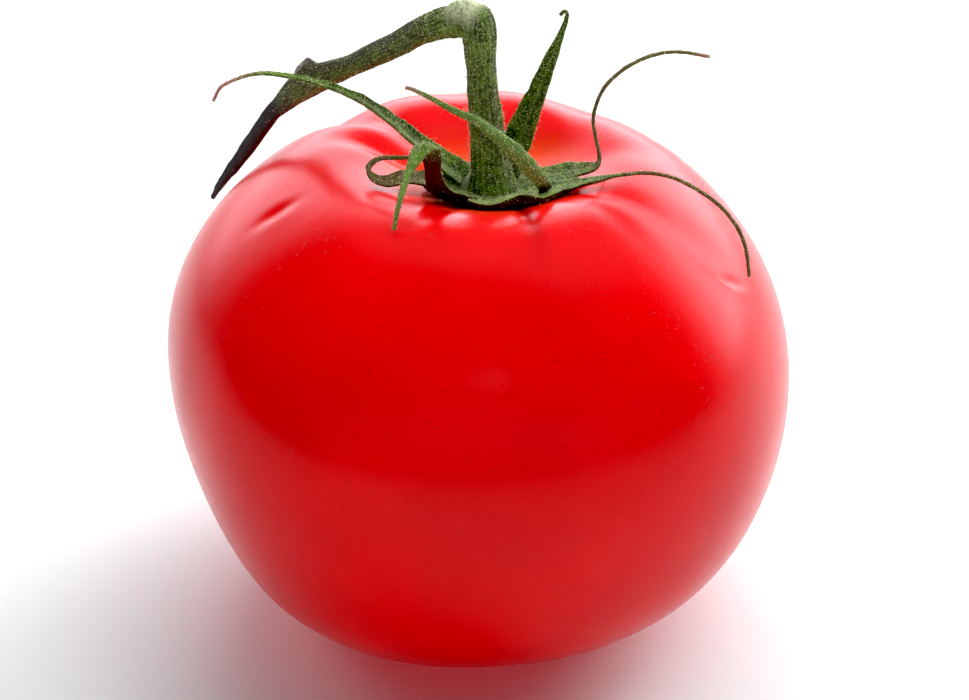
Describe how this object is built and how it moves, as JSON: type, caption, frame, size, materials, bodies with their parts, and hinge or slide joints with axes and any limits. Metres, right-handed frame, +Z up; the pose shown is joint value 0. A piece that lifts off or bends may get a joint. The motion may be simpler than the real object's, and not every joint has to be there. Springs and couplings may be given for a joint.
{
  "type": "tomato",
  "caption": "Ripe round tomato with a sunken stem end, a star of long curling sepals and a bent piece of stalk, resting on its blossom end.",
  "frame": {"origin": "middle of the flat spot under the fruit, on the surface that it rests on", "axes": "+Z up towards the stem end, -Y towards the viewer, +X to the viewer's right"},
  "size_m": [0.0723, 0.0746, 0.075],
  "materials": {
    "skin": "waxy smooth red skin, glossy, with fine specks and an orange tint in the stem basin",
    "sepal": "soft hairy green leaf, browner and thinner at the tips",
    "stalk": "hairy green stalk, pale at the swollen joint and dark purple at the spike"
  },
  "bodies": {
    "root": {"fruit": "skin", "calyx": "sepal", "stem": "stalk"}
  },
  "joints": []
}
